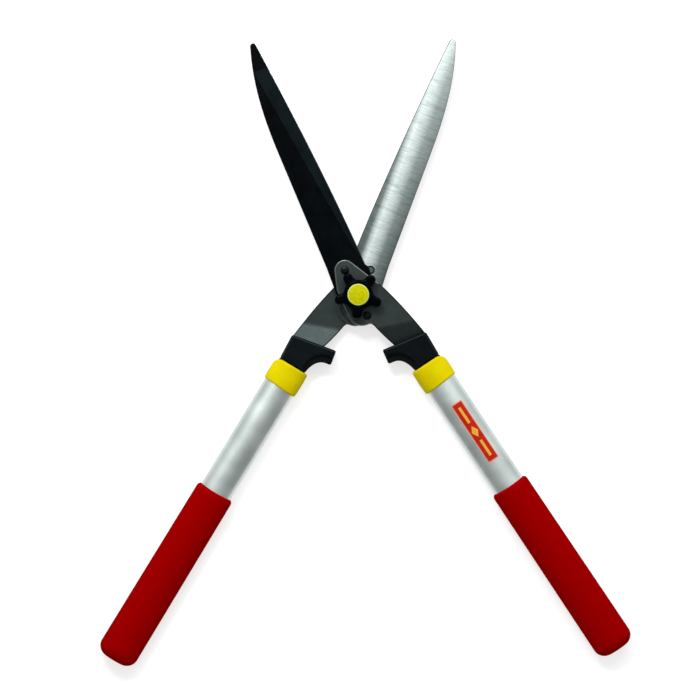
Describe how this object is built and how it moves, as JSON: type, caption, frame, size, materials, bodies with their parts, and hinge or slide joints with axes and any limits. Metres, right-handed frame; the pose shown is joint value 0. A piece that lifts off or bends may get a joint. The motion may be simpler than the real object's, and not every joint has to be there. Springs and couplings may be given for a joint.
{
  "type": "hedge shears",
  "caption": "Hand hedge shears with long straight bevelled blades, oval tube handles with rubber grips, bumper ferrules and a star knob that sets the pivot tension.",
  "frame": {"origin": "on the pivot axis, in the rear face of the pivot bolt's head, which is the plane that the shears rest on when they lie flat with the knob up", "axes": "+Y along the centre line between the blades towards the tips, +Z along the pivot axis towards the tension knob, +X to the right as seen from the knob side"},
  "size_m": [0.4972, 0.5811, 0.0369],
  "materials": {
    "black_coating": "satin non-stick coating",
    "ground_steel": "cross-ground, bright",
    "satin_steel": "satin, phosphated grey",
    "dark_steel": "blackened",
    "bright_steel": "zinc plated",
    "brass": "turned",
    "aluminium": "satin anodised",
    "black_plastic": "fine moulded grain",
    "gloss_black_plastic": "polished",
    "yellow_plastic": "semi-matt",
    "grey_plastic": "matt",
    "red_rubber": "soft matt foam skin",
    "label_film": "printed film"
  },
  "bodies": {
    "rear_half": {"rear_blade": "ground_steel", "rear_tang_plate": "satin_steel", "rear_upper_rivet": "dark_steel", "rear_lower_rivet": "dark_steel", "rear_ferrule": "black_plastic", "rear_cross_pin": "bright_steel", "rear_collar": "yellow_plastic", "rear_tube": "aluminium", "rear_end_plug": "grey_plastic", "rear_grip": "red_rubber", "pivot_bolt": "bright_steel", "rear_washer": "bright_steel"},
    "front_half": {"front_blade": "black_coating", "front_tang_plate": "satin_steel", "front_upper_rivet": "dark_steel", "front_lower_rivet": "dark_steel", "front_ferrule": "black_plastic", "front_cross_pin": "bright_steel", "front_collar": "yellow_plastic", "front_tube": "aluminium", "front_end_plug": "grey_plastic", "front_grip": "red_rubber", "handle_label": "label_film", "pivot_bush": "brass"},
    "thrust_pack": {"thrust_washer": "bright_steel", "wave_washer": "dark_steel"},
    "tension_knob": {"star_knob": "gloss_black_plastic", "knob_nut_insert": "brass", "knob_cap": "yellow_plastic"}
  },
  "joints": [
    {"name": "blade_pivot", "type": "hinge", "parent": "rear_half", "child": "front_half", "pos_m": [0, 0, 0.014], "axis": [0, 0, 1], "range_deg": [-45, 60]},
    {"name": "thrust_slide", "type": "slide", "parent": "rear_half", "child": "thrust_pack", "axis": [0, 0, 1], "range_m": [0, 0.0015]},
    {"name": "knob_turn", "type": "hinge", "parent": "thrust_pack", "child": "tension_knob", "pos_m": [0, 0, 0.028], "axis": [0, 0, 1], "range_deg": [0, 360]}
  ],
  "couplings": [
    {"joint": "thrust_slide", "follows": "knob_turn", "m_per_rad": 0.00023873}
  ]
}
